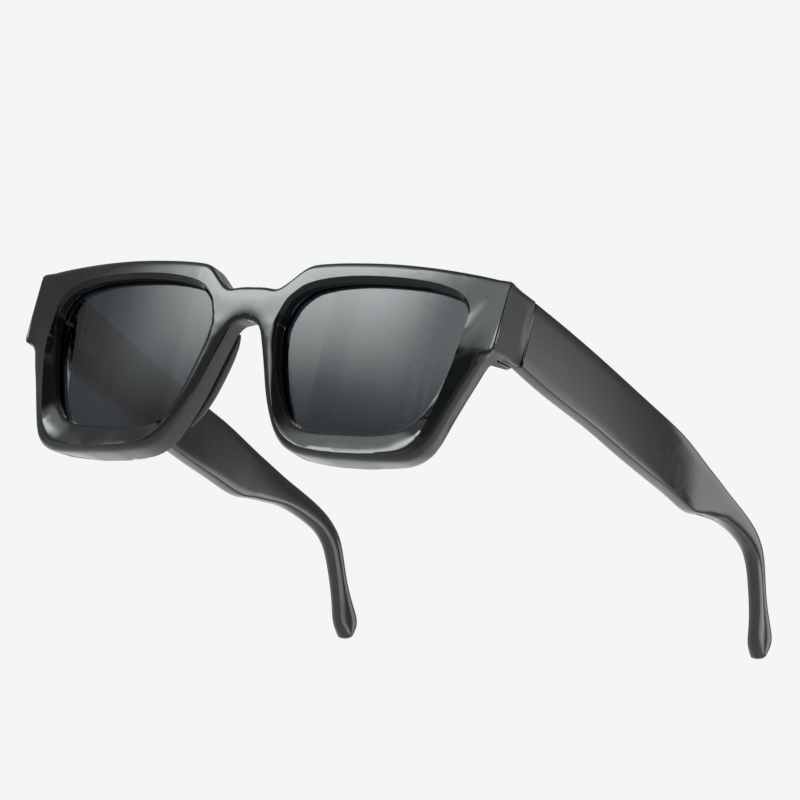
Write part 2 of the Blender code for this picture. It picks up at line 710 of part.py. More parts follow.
def temples(parts, cutters, plastic, steel):
    axis = Vector((AXIS_X, AXIS_Y, HINGE_Z))
    temple = add_object("temple_left", temple_mesh(), parts, plastic, axis)
    route = wire_route()
    start = (route[0] - route[1]).normalized()
    finish = (route[-1] - route[-2]).normalized()
    bore_route = [route[0] + start * OVERRUN, *route[1:-1], route[-1] + finish * FIT_GAP]
    bore = tube_mesh("wire_bore", bore_route, WIRE_RADIUS + FIT_GAP)
    bore_object = add_object("wire_bore", bore, cutters, origin=axis)
    bore_object.hide_render = True
    bore_object.display_type = "WIRE"
    boolean(temple, bore_object, "DIFFERENCE")
    holes = bmesh.new()
    for y, z in temple_screw_places():
        rod(
            holes,
            (INNER_FACE_X - OVERRUN, y, z),
            (INNER_FACE_X + LEAF_SCREW_LENGTH, y, z),
            LEAF_SCREW_RADIUS + FIT_GAP,
            SMALL_SIDES,
        )
    hole_object = cutter_object("temple_screw_bores", holes, cutters, axis)
    boolean(temple, hole_object, "DIFFERENCE")
    apply_modifiers(temple)
    smooth(temple)
    mirrored = mirrored_mesh(temple.data, "temple_right")
    smooth(add_copy("temple_right", mirrored, parts, axis))
    wire_points = [route[0] - start * FIT_GAP, *route[1:]]
    wire = add_object(
        "core_wire_left", tube_mesh("core_wire", wire_points, WIRE_RADIUS), parts, steel, axis
    )
    smooth(wire)
    smooth(add_copy("core_wire_right", mirrored_mesh(wire.data, "core_wire_right"), parts, axis))


def add_copy(name, mesh, collection, left_origin):
    """Places a mirrored mesh whose origin is already on the joint's axis."""
    obj = bpy.data.objects.new(name, mesh)
    collection.objects.link(obj)
    x, y, z = left_origin
    obj.location = (-x, y - FRAME_CENTRE_Y, z)
    return obj


# Hinges


def barrel_span(index):
    """The lowest and highest point of one barrel, counted from the bottom."""
    low = HINGE_Z - HINGE_HEIGHT / 2 + index * (BARREL_HEIGHT + BARREL_GAP)
    return low, low + BARREL_HEIGHT


def leaf_plate_span(towards):
    """Where the flat of a leaf starts and ends along Y: -1 is the front's, 1 the temple's."""
    near = AXIS_Y + towards * (BARREL_RADIUS + FIT_GAP)
    length = FRONT_LEAF_LENGTH if towards < 0 else TEMPLE_LEAF_LENGTH
    return near, AXIS_Y + towards * length


def front_screw_places():
    near, far = leaf_plate_span(-1)
    spread = HINGE_HEIGHT * LEAF_SCREW_SPREAD_SHARE
    return [((near + far) / 2, HINGE_Z - spread), ((near + far) / 2, HINGE_Z + spread)]


def temple_screw_places():
    near, far = leaf_plate_span(1)
    inset = (far - near) * LEAF_SCREW_SPREAD_SHARE
    return [(near + inset, HINGE_Z), (far - inset, HINGE_Z)]


def hinge_leaf(name, towards, barrels, screw_places, parts, cutters, material):
    """One half of the left hinge: a flat leaf, its barrels, the pin bore and screw holes."""
    outer = INNER_FACE_X - FIT_GAP
    inner = outer - LEAF_THICKNESS
    near, far = leaf_plate_span(towards)
    half = HINGE_HEIGHT / 2
    axis = Vector((AXIS_X, AXIS_Y, HINGE_Z))
    bm = bmesh.new()
    corners = sorted((near, far))
    box(bm, (inner, corners[0], HINGE_Z - half), (outer, corners[1], HINGE_Z + half))
    leaf = add_object(name, finish_mesh(bm, name), parts, material, axis)
    edges = leaf.modifiers.new("soft edges", "BEVEL")
    edges.width = LEAF_THICKNESS * LEAF_EDGE_SHARE
    edges.segments = 1
    for index in barrels:
        low, high = barrel_span(index)
        bm = bmesh.new()
        tab = sorted((AXIS_Y, near + towards * LEAF_THICKNESS))
        box(bm, (inner, tab[0], low), (outer, tab[1], high))
        web = cutter_object(f"{name} web {index}", bm, cutters, axis)
        boolean(leaf, web, "UNION")
        bm = bmesh.new()
        rod(bm, (AXIS_X, AXIS_Y, low), (AXIS_X, AXIS_Y, high), BARREL_RADIUS, ROUND_SIDES)
        barrel = cutter_object(f"{name} barrel {index}", bm, cutters, axis)
        boolean(leaf, barrel, "UNION")
    bm = bmesh.new()
    rod(
        bm,
        (AXIS_X, AXIS_Y, HINGE_Z - half - OVERRUN),
        (AXIS_X, AXIS_Y, HINGE_Z + half + OVERRUN),
        HINGE_SCREW_RADIUS + FIT_GAP,
        SMALL_SIDES,
    )
    for y, z in screw_places:
        rod(
            bm,
            (inner - OVERRUN, y, z),
            (outer + OVERRUN, y, z),
            LEAF_SCREW_RADIUS + FIT_GAP,
            SMALL_SIDES,
        )
    boolean(leaf, cutter_object(f"{name} bores", bm, cutters, axis), "DIFFERENCE")
    apply_modifiers(leaf)
    smooth(leaf)
    return leaf


def hinge_screw(parts, cutters, material):
    """The vertical screw that joins the barrels, with a slotted head on top."""
    axis = Vector((AXIS_X, AXIS_Y, HINGE_Z))
    top = HINGE_Z + HINGE_HEIGHT / 2 + FIT_GAP
    head_top = top + HINGE_SCREW_HEAD_HEIGHT
    edge = HINGE_SCREW_HEAD_HEIGHT * SCREW_EDGE_SHARE
    head, shank = HINGE_SCREW_HEAD_RADIUS, HINGE_SCREW_RADIUS
    profile = [
        (0, head_top),
        (head - edge, head_top),
        (head, head_top - edge),
        (head, top),
        (shank, top),
        (shank, HINGE_Z - HINGE_HEIGHT / 2),
        (0, HINGE_Z - HINGE_HEIGHT / 2),
    ]
    screw = turned("hinge_screw_left", profile, parts, material, axis, ROUND_SIDES)
    bm = bmesh.new()
    box(
        bm,
        (AXIS_X - head - OVERRUN, AXIS_Y - SCREW_SLOT_WIDTH / 2, head_top - SCREW_SLOT_DEPTH),
        (AXIS_X + head + OVERRUN, AXIS_Y + SCREW_SLOT_WIDTH / 2, head_top + OVERRUN),
    )
    boolean(screw, cutter_object("hinge_screw slot", bm, cutters, axis), "DIFFERENCE")
    apply_modifiers(screw)
    smooth(screw)
    return screw


def turned(name, profile, parts, material, axis, sides):
    """A profile of radius and height, turned about the vertical line through the axis."""
    mesh = bpy.data.meshes.new(name)
    points = [(radius, 0, height - axis.z) for radius, height in profile]
    mesh.from_pydata(points, [(i, i + 1) for i in range(len(points) - 1)], [])
    obj = bpy.data.objects.new(name, mesh)
    parts.objects.link(obj)
    obj.location = axis - Vector((0, FRAME_CENTRE_Y, 0))
    mesh.materials.append(material)
    screw = obj.modifiers.new("turn", "SCREW")
    screw.steps = screw.render_steps = sides
    screw.use_merge_vertices = True
    screw.merge_threshold = SAME_POINT
    return obj


def leaf_screw(name, y, z, parts, cutters, material):
    """A small slotted screw that goes through a leaf into the plastic, along +X."""
    seat = INNER_FACE_X - FIT_GAP - LEAF_THICKNESS - FIT_GAP
    axis = Vector((seat, y, z))
    bm = bmesh.new()
    rod(
        bm,
        (seat - LEAF_SCREW_HEAD_HEIGHT, y, z),
        (seat, y, z),
        LEAF_SCREW_HEAD_RADIUS * SCREW_CONE_SHARE,
        SMALL_SIDES,
        LEAF_SCREW_HEAD_RADIUS,
    )
    screw = add_object(name, finish_mesh(bm, name), parts, material, axis)
    bm = bmesh.new()
    tip = INNER_FACE_X + LEAF_SCREW_LENGTH - FIT_GAP
    root = seat - LEAF_SCREW_HEAD_HEIGHT / 2
    rod(bm, (root, y, z), (tip, y, z), LEAF_SCREW_RADIUS, SMALL_SIDES)
    shank = cutter_object(f"{name} shank", bm, cutters, axis)
    boolean(screw, shank, "UNION")
    bm = bmesh.new()
    head, slot = LEAF_SCREW_HEAD_RADIUS, SCREW_SLOT_WIDTH / 2
    outside = seat - LEAF_SCREW_HEAD_HEIGHT
    box(
        bm,
        (outside - OVERRUN, y - slot, z - head - OVERRUN),
        (outside + SCREW_SLOT_DEPTH * LEAF_SLOT_SHARE, y + slot, z + head + OVERRUN),
    )
    boolean(screw, cutter_object(f"{name} slot", bm, cutters, axis), "DIFFERENCE")
    apply_modifiers(screw)
    smooth(screw)
    return screw


def hinges(parts, cutters, steel):
    front_barrels = range(0, BARREL_COUNT, 2)
    temple_barrels = range(1, BARREL_COUNT, 2)
    front_places, temple_places = front_screw_places(), temple_screw_places()
    made = [
        hinge_leaf("front_hinge_left", -1, front_barrels, front_places, parts, cutters, steel),
        hinge_leaf("temple_hinge_left", 1, temple_barrels, temple_places, parts, cutters, steel),
        hinge_screw(parts, cutters, steel),
    ]
    for label, (y, z) in zip(("lower", "upper"), front_places):
        name = f"front_leaf_screw_{label}_left"
        made.append(leaf_screw(name, y, z, parts, cutters, steel))
    for label, (y, z) in zip(("near", "far"), temple_places):
        name = f"temple_leaf_screw_{label}_left"
        made.append(leaf_screw(name, y, z, parts, cutters, steel))
    for piece in made:
        name = piece.name.replace("_left", "_right")
        origin = piece.location + Vector((0, FRAME_CENTRE_Y, 0))
        smooth(add_copy(name, mirrored_mesh(piece.data, name), parts, origin))


def new_collection(name):
    collection = bpy.data.collections.new(name)
    bpy.context.scene.collection.children.link(collection)
    return collection


def main():
    for obj in list(bpy.data.objects):
        bpy.data.objects.remove(obj)
    parts = new_collection("square_sunglasses")
    cutters = new_collection("cutters")
    cutters.hide_render = True
    plastic = make_material("glossy black plastic", (0.012, 0.016, 0.015), 0.16)
    pad_plastic = make_material("satin black plastic", (0.014, 0.016, 0.016), 0.3)
    tint = make_material("grey tinted lens", (0.055, 0.058, 0.064), 0.04, alpha=0.72)
    steel = make_material("nickel silver", (0.60, 0.59, 0.57), 0.28, metallic=1.0)
    stations = rim_stations()
    front_frame(stations, parts, cutters, plastic)
    lenses(stations, parts, tint)
    nose_pads(parts, pad_plastic)
    temples(parts, cutters, plastic, steel)
    hinges(parts, cutters, steel)


main()
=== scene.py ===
# Square sunglasses in polished black acetate with grey lenses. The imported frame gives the
# sizes, and this script gives the rounded edges, the finishes, the light and the camera.
import json
import math

import bmesh
import bpy
import numpy as np
from mathutils import Matrix, Vector
from mathutils.kdtree import KDTree

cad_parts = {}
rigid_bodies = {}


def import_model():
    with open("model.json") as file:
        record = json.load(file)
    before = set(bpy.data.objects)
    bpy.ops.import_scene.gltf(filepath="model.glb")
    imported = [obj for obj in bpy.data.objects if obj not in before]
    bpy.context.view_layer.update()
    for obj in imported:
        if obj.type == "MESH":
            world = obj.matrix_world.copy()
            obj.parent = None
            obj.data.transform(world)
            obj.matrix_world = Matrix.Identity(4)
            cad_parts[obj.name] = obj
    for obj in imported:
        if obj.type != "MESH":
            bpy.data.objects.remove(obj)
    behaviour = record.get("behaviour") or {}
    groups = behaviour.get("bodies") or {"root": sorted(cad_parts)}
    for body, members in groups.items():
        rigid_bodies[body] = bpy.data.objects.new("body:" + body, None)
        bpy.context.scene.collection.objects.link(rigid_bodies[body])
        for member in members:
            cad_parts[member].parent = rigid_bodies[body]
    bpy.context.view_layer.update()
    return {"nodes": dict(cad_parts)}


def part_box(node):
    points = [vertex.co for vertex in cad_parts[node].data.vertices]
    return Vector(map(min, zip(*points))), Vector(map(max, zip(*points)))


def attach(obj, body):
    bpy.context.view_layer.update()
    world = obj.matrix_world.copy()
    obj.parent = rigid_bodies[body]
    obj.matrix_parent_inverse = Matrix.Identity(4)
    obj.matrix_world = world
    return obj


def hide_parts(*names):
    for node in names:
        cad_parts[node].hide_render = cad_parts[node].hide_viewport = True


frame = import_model()
nodes = frame["nodes"]
mm = 0.001
print("frame loaded:", len(nodes), "nodes")

# small helpers


def hexColour(code):
    # an sRGB hex value as the linear colour that the shaders take
    channels = [int(code[place : place + 2], 16) / 255 for place in (1, 3, 5)]
    linear = [c / 12.92 if c <= 0.04045 else ((c + 0.055) / 1.055) ** 2.4 for c in channels]
    return (*linear, 1.0)


def addNode(tree, kind, settings=None, links=None):
    # adds one node, sets its properties and sockets, and links its inputs
    node = tree.nodes.new(kind)
    for key, value in (settings or {}).items():
        if isinstance(key, int) or key in node.inputs:
            node.inputs[key].default_value = value
        else:
            setattr(node, key, value)
    for key, source in (links or {}).items():
        tree.links.new(source, node.inputs[key])
    return node


def newMaterial(name):
    material = bpy.data.materials.new(name)
    material.use_nodes = True
    tree = material.node_tree
    return material, tree, tree.nodes["Principled BSDF"]


def deselectAll():
    for other in bpy.context.view_layer.objects:
        other.select_set(False)


def makeActive(piece):
    deselectAll()
    piece.select_set(True)
    bpy.context.view_layer.objects.active = piece


# how a copy of a solid is joined up before it is shaped
joining = {
    "merge": 0.005 * mm,
    "faceAngle": math.radians(40),
    "shapeAngle": math.radians(180),
}


def copyOfNode(nodeName, pieceName):
    # a merged copy of a CAD node, with its triangles joined to four-sided faces
    piece = bpy.data.objects.new(pieceName, nodes[nodeName].data.copy())
    bpy.context.scene.collection.objects.link(piece)
    piece.data.materials.clear()
    makeActive(piece)
    bpy.ops.object.mode_set(mode="EDIT")
    bpy.ops.mesh.select_all(action="SELECT")
    bpy.ops.mesh.remove_doubles(threshold=joining["merge"])
    bpy.ops.mesh.tris_convert_to_quads(
        face_threshold=joining["faceAngle"], shape_threshold=joining["shapeAngle"]
    )
    bpy.ops.object.mode_set(mode="OBJECT")
    return piece


def valuesOf(items, name, count=None):
    # the places or directions of the first items, one row each
    values = np.empty(len(items) * 3)
    items.foreach_get(name, values)
    return values.reshape(-1, 3)[:count]


def setPlaces(mesh, places):
    mesh.vertices.foreach_set("co", places.ravel())
    mesh.update()


def easedShare(depth):
    # runs softly from none to all while the depth goes from 0 to 1
    part = np.clip(depth, 0, 1)
    return part * part * (3 - 2 * part)


def shadeByAngle(piece, angle):
    # every edge sharper than the angle shows as an edge, and the rest shade smoothly
    shape = bmesh.new()
    shape.from_mesh(piece.data)
    for face in shape.faces:
        face.smooth = True
    for edge in shape.edges:
        edge.smooth = edge.calc_face_angle(math.pi) < angle
    shape.to_mesh(piece.data)
    shape.free()


# the lenses' own curve, which the solids have too, and which the face runs ahead of
lens = {
    "cell": 1.5 * mm,
    "sweep": 6.7 * mm,
    "halfWidth": 73.1 * mm,
    "recess": 3.7 * mm,
    "ahead": 75.375 * mm,
    "centreHeight": 26.163 * mm,
    "radius": 800 * mm,
    "flatAngle": math.radians(1),
    "shadeAngle": math.radians(35),
}


def lensFrontY(x, z):
    swept = lens["sweep"] * (x / lens["halfWidth"]) ** 2
    return swept + (z - lens["centreHeight"]) ** 2 / (2 * lens["radius"]) - lens["ahead"]


def faceFrontY(x):
    # where the rims' face lies, at the lenses' middle height
    return lensFrontY(x, lens["centreHeight"]) - lens["recess"]


def inEndBlock(place, look):
    # the block that carries the hinge, behind the edge roll of the face
    behind = place.y > faceFrontY(place.x) + look["blockBehind"]
    return abs(place.x) > look["blockBeyond"] and behind


def smoothCurves(piece, look):
    # subdivision with firm creases where the solid has an edge. The control points are then
    # moved in or out until the smooth surface stands as high as the solid's own points.
    mesh = piece.data
    shape = bmesh.new()
    shape.from_mesh(mesh)
    crease = shape.edges.layers.float.new("crease_edge")
    for edge in shape.edges:
        soft, firm, angle = look["softBelow"], look["firmAbove"], edge.calc_face_angle(0)
        if "blockBeyond" in look and all(inEndBlock(vert.co, look) for vert in edge.verts):
            soft, firm = look["blockSoft"], look["blockFirm"]
            angle = firm if angle < look["blockFlat"] else angle
        edge[crease] = min(max((angle - soft) / (firm - soft), 0), 1)
    shape.to_mesh(mesh)
    shape.free()
    subdivision = piece.modifiers.new("long curves", "SUBSURF")
    subdivision.levels = subdivision.render_levels = look["levels"]
    goal = valuesOf(mesh.vertices, "co")
    outwards = valuesOf(mesh.vertex_normals, "vector")
    control = goal.copy()
    if "blockBeyond" in look:
        outwards *= [[not inEndBlock(Vector(place), look)] for place in goal]
    for fit in range(look["fits"]):
        bpy.context.view_layer.update()
        rounded = piece.evaluated_get(bpy.context.evaluated_depsgraph_get())
        missing = goal - valuesOf(rounded.data.vertices, "co", len(goal))
        control += outwards * np.sum(missing * outwards, axis=1, keepdims=True)
        setPlaces(mesh, control)
    makeActive(piece)
    bpy.ops.object.modifier_apply(modifier=subdivision.name)
    shadeByAngle(piece, look["shadeAngle"])


def roundEdges(piece, look):
    # a small rounding on every sharp edge
    bevel = piece.modifiers.new("rounding", "BEVEL")
    bevel.width = look["rounding"]
    bevel.segments = look["segments"]
    bevel.limit_method = "ANGLE"
    bevel.angle_limit = look["sharp"]
    bevel.miter_outer = "MITER_ARC"
    makeActive(piece)
    bpy.ops.object.modifier_apply(modifier=bevel.name)


def finishPiece(piece, body, material, nodeName):
    piece.data.materials.clear()
    piece.data.materials.append(material)
    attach(piece, body)
    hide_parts(nodeName)


# black acetate: moulded, tumbled and hand polished, so it is glassy black with a slightly wavy
# reflection and faint rubbing marks, which are drawn coarser than real ones so that they show
acetate = {
    "dark": "#0a0d0c",
    "pale": "#151a18",
    "roughness": 0.09,
    "roughnessSpread": 0.06,
    "ior": 1.49,
    "waveLength": 11 * mm,
    "waveHeight": 0.008 * mm,
    "cloudLength": 6 * mm,
    "rubbingLength": 1.6 * mm,
}

# the pads' acetate is tumbled only, so it is a little paler and has a satin sheen
padFinish = {"dark": "#0d100f", "pale": "#181c1a", "roughness": 0.22, "roughnessSpread": 0.08}


def acetateMaterial(name, look):
    material, tree, shader = newMaterial(name)
    shader.inputs["IOR"].default_value = look["ior"]
    place = addNode(tree, "ShaderNodeTexCoord").outputs["Object"]
    cloud = addNode(
        tree,
        "ShaderNodeTexNoise",
        {"Scale": 1 / look["cloudLength"], "Detail": 3.0, "Roughness": 0.6},
        {"Vector": place},
    )
    shade = addNode(
        tree,
        "ShaderNodeMix",
        {"data_type": "RGBA", 6: hexColour(look["dark"]), 7: hexColour(look["pale"])},
        {0: cloud.outputs["Fac"]},
    )
    tree.links.new(shade.outputs[2], shader.inputs["Base Color"])
    rubbing = addNode(
        tree,
        "ShaderNodeTexNoise",
        {"Scale": 1 / look["rubbingLength"], "Detail": 4.0, "Roughness": 0.7},
        {"Vector": place},
    )
    both = addNode(
        tree,
        "ShaderNodeMath",
        {"operation": "MULTIPLY"},
        {0: cloud.outputs["Fac"], 1: rubbing.outputs["Fac"]},
    )
    polish = addNode(
        tree,
        "ShaderNodeMapRange",
        {
            "From Min": 0.15,
            "From Max": 0.4,
            "To Min": look["roughness"] - look["roughnessSpread"] / 2,
            "To Max": look["roughness"] + look["roughnessSpread"],
        },
        {"Value": both.outputs[0]},
    )
    tree.links.new(polish.outputs["Result"], shader.inputs["Roughness"])
    wave = addNode(
        tree,
        "ShaderNodeTexNoise",
        {"Scale": 1 / look["waveLength"], "Detail": 1.0, "Roughness": 0.4},
        {"Vector": place},
    )
    bump = addNode(
        tree,
        "ShaderNodeBump",
        {"Strength": 1.0, "Distance": look["waveHeight"]},
        {"Height": wave.outputs["Fac"]},
    )
    tree.links.new(bump.outputs["Normal"], shader.inputs["Normal"])
    return material


# grey lens: cast allyl resin, dyed and polished, so the white behind it comes through as a
# dark cool grey and its front mirrors the studio
lensTint = {
    "tint": "#343942",
    "paleTint": "#393e47",
    "ior": 1.50,
    "roughness": 0.0,
    "roughnessSpread": 0.004,
    "dyeLength": 14 * mm,
    "wipeLength": 3 * mm,
}


def lensMaterial(name, look):
    material, tree, shader = newMaterial(name)
    shader.inputs["IOR"].default_value = look["ior"]
    shader.inputs["Transmission Weight"].default_value = 1.0
    place = addNode(tree, "ShaderNodeTexCoord").outputs["Object"]
    dye = addNode(
        tree,
        "ShaderNodeTexNoise",
        {"Scale": 1 / look["dyeLength"], "Detail": 1.0},
        {"Vector": place},
    )
    tint = addNode(
        tree,
        "ShaderNodeMix",
        {"data_type": "RGBA", 6: hexColour(look["tint"]), 7: hexColour(look["paleTint"])},
        {0: dye.outputs["Fac"]},
    )
    tree.links.new(tint.outputs[2], shader.inputs["Base Color"])
    wipe = addNode(
        tree,
        "ShaderNodeTexNoise",
        {"Scale": 1 / look["wipeLength"], "Detail": 3.0, "Distortion": 0.6},
        {"Vector": place},
    )
    haze = addNode(
        tree,
        "ShaderNodeMapRange",
        {
            "From Min": 0.35,
            "From Max": 0.75,
            "To Min": look["roughness"],
            "To Max": look["roughness"] + look["roughnessSpread"],
        },
        {"Value": wipe.outputs["Fac"]},
    )
    tree.links.new(haze.outputs["Result"], shader.inputs["Roughness"])
    return material


# nickel silver with gunmetal plating: drawn, milled and barrel polished before it was plated,
# so it is a dark grey metal with faint marks along its length, drawn coarser than real ones
plating = {
    "colour": "#6b6c6f",
    "roughness": 0.24,
    "smoother": 0.06,
    "rougher": 0.1,
    "grainLength": 1.2 * mm,
    "grainWidth": 0.12 * mm,
}

# the screws are turned from steel and polished, so they are paler and glossier
screwFinish = {"colour": "#8e8f92", "roughness": 0.18}


def metalMaterial(name, look):
    material, tree, shader = newMaterial(name)
    shader.inputs["Base Color"].default_value = hexColour(look["colour"])
    shader.inputs["Metallic"].default_value = 1.0
    place = addNode(tree, "ShaderNodeTexCoord").outputs["Object"]
    across, along = 1 / look["grainWidth"], 1 / look["grainLength"]
    stretch = addNode(tree, "ShaderNodeMapping", {"Scale": (across, along, across)}, {"Vector": place})
    grain = addNode(
        tree,
        "ShaderNodeTexNoise",
        {"Scale": 1.0, "Detail": 2.0},
        {"Vector": stretch.outputs[0]},
    )
    polish = addNode(
        tree,
        "ShaderNodeMapRange",
        {
            "From Min": 0.3,
            "From Max": 0.7,
            "To Min": look["roughness"] - look["smoother"],
            "To Max": look["roughness"] + look["rougher"],
        },
        {"Value": grain.outputs["Fac"]},
    )
    tree.links.new(polish.outputs["Result"], shader.inputs["Roughness"])
    return material


blackAcetate = acetateMaterial("polishedBlackAcetate", acetate)
padAcetate = acetateMaterial("satinBlackAcetate", {**acetate, **padFinish})
greyLens = lensMaterial("greyTintedLens", lensTint)
gunmetal = metalMaterial("gunmetalPlatedNickelSilver", plating)
screwSteel = metalMaterial("polishedScrewSteel", {**plating, **screwFinish})
print("materials made")

# the moulded front: its smoothing, the end blocks' own edges, the faces that settle on an
# even sheet (span in x, span in z), the bridge's recut, the crown and the end blocks' corners
front = {
    "levels": 2,
    "fits": 4,
    "softBelow": math.radians(30),
    "firmAbove": math.radians(45),
    "shadeAngle": math.radians(26),
    "blockBeyond": 60 * mm,
    "blockBehind": 1.2 * mm,
    "blockSoft": math.radians(15),
    "blockFirm": math.radians(35),
    "blockFlat": math.radians(0.5),
    "bridge": ((-19 * mm, 19 * mm), (30 * mm, 50 * mm)),
    "leftEnd": ((47 * mm, 77 * mm), (22 * mm, 56 * mm)),
    "rightEnd": ((-77 * mm, -47 * mm), (22 * mm, 56 * mm)),
    "facing": 0.93,
    "cell": 0.8,
    "fade": 3 * mm,
    "give": 60,
    "leastArea": 1e-9,
    "followed": 6,
    "followUpTo": 2.5 * mm,
    "followLeast": 0.01 * mm,
    "bridgeFlat": ((-19.5 * mm, 19.5 * mm), (34 * mm, 50 * mm)),
    "level": math.cos(math.radians(6)),
    "proud": 1.5 * mm,
    "sliver": 0.02,
    "border": 0.5 * mm,
    "cut": 1.6 * mm,
    "crownFrom": 30 * mm,
    "crownRadius": 260 * mm,
    "seatDepth": 3.4 * mm,
    "roll": 2 * mm,
    "smallRoll": 0.5 * mm,
    "cornerLow": 28.5 * mm,
    "cornerHigh": 48.5 * mm,
    "cornerFade": 1.5 * mm,
    "clearLow": 33 * mm,
    "clearHigh": 48 * mm,
    "faceBeyond": 67 * mm,
    "faceLevel": math.cos(math.radians(20)),
    "wallBeyond": 72 * mm,
    "wallStart": -71.5 * mm,
    "wallEnd": -60 * mm,
    "wallLevel": math.cos(math.radians(20)),
    "wallDip": 0.6 * mm,
    "wallTurn": 0.045,
    "turnDepth": 3 * mm,
}


def recutFlat(piece, spanX, spanZ, look):
    # the long thin facets of the flat face become one, with an even border and short facets
    shape = bmesh.new()
    shape.from_mesh(piece.data)
    flats = []
    for face in shape.faces:
        slope = 2 * lens["sweep"] * face.calc_center_median().x / lens["halfWidth"] ** 2
        level = face.normal.dot(Vector((slope, -1, 0)).normalized()) > look["level"]
        longest = max(edge.calc_length() for edge in face.edges)
        sliver = face.calc_area() < look["sliver"] * longest * longest
        inside = all(
            spanX[0] < vert.co.x < spanX[1]
            and spanZ[0] < vert.co.z < spanZ[1]
            and vert.co.y < lensFrontY(vert.co.x, vert.co.z) - look["proud"]
            for vert in face.verts
        )
        if inside and (level or sliver):
            flats.append(face)
    merged = bmesh.ops.dissolve_faces(shape, faces=flats, use_verts=False)["region"]
    bmesh.ops.inset_region(shape, faces=merged, thickness=look["border"], use_even_offset=True)
    for normal, (low, high) in ((Vector((1, 0, 0)), spanX), (Vector((0, 0, 1)), spanZ)):
        for index in range(1, math.ceil((high - low) / look["cut"])):
            parts = {part for face in merged for part in (face, *face.edges, *face.verts)}
            place = normal * (low + index * look["cut"])
            made = bmesh.ops.bisect_plane(shape, geom=list(parts), plane_co=place, plane_no=normal)
            merged = [part for part in made["geom"] if isinstance(part, bmesh.types.BMFace)]
    shape.to_mesh(piece.data)
    shape.free()
    print("bridge recut:", len(flats), "facets made", len(merged))


def springHeights(places, anchors, look):
    # the kernel of a thin springy sheet between two sets of places, in millimetres squared
    away = np.square(places[:, None] - anchors[None]).sum(axis=2)
    return away * np.log(away + look["leastArea"])


def evenOut(piece, spanX, spanZ, look):
    # a thin springy sheet is laid on the forward face, and the face settles on it. The edge
    # rolls beside the face follow its nearest points.
    places = valuesOf(piece.data.vertices, "co")
    normals = valuesOf(piece.data.vertices, "normal")
    share = np.ones(len(places))
    for axis, (low, high) in ((0, spanX), (2, spanZ)):
        share *= easedShare(np.minimum(places[:, axis] - low, high - places[:, axis]) / look["fade"])
    near = np.flatnonzero(share > 0)
    ahead = places[near, 1] < lensFrontY(places[near, 0], places[near, 2])
    forward = ahead & (normals[near, 1] < -look["facing"])
    flat, beside = near[forward], near[ahead & ~forward]

    # the sheet through one point of each cell, as heights over the x, z plane
    spots = places[:, [0, 2]] / mm
    chosen = flat[np.unique(np.round(spots[flat] / look["cell"]), axis=0, return_index=True)[1]]
    plane = np.column_stack((np.ones(len(chosen)), spots[chosen]))
    system = np.zeros((len(chosen) + 3, len(chosen) + 3))
    system[:-3, :-3] = springHeights(spots[chosen], spots[chosen], look)
    system[:-3, :-3] += look["give"] * np.eye(len(chosen))
    system[:-3, -3:], system[-3:, :-3] = plane, plane.T
    answer = np.linalg.solve(system, np.concatenate((places[chosen, 1], np.zeros(3))))
    sheet = springHeights(spots[flat], spots[chosen], look) @ answer[:-3]
    sheet += np.column_stack((np.ones(len(flat)), spots[flat])) @ answer[-3:]

    motion = np.zeros(len(places))
    motion[flat] = sheet - places[flat, 1]
    finder = KDTree(len(flat))
    for index in flat:
        finder.insert(places[index], index)
    finder.balance()
    for index in beside:
        found = finder.find_n(places[index], look["followed"])
        weights = [1 / (distance + look["followLeast"]) for place, other, distance in found]
        follow = np.average([motion[other] for place, other, distance in found], weights=weights)
        motion[index] = follow * (1 - easedShare(found[0][2] / look["followUpTo"]))
    places[:, 1] += motion * share
    setPlaces(piece.data, places)


def crownFace(piece, look):
    # the upper face leans back a little, and the seats of the lenses stay where they are
    for vert in piece.data.vertices:
        rise = vert.co.z - look["crownFrom"]
        share = 1 - (vert.co.y - faceFrontY(vert.co.x)) / look["seatDepth"]
        if rise > 0:
            vert.co.y += min(max(share, 0), 1) * rise * rise / (2 * look["crownRadius"])


def flatThrough(heights, first, second, chosen):
    # the plane nearest to the chosen points: its height at zero and its two slopes
    rows = np.column_stack((np.ones(len(heights)), first, second))
    return np.linalg.lstsq(rows[chosen], heights[chosen], rcond=None)[0]


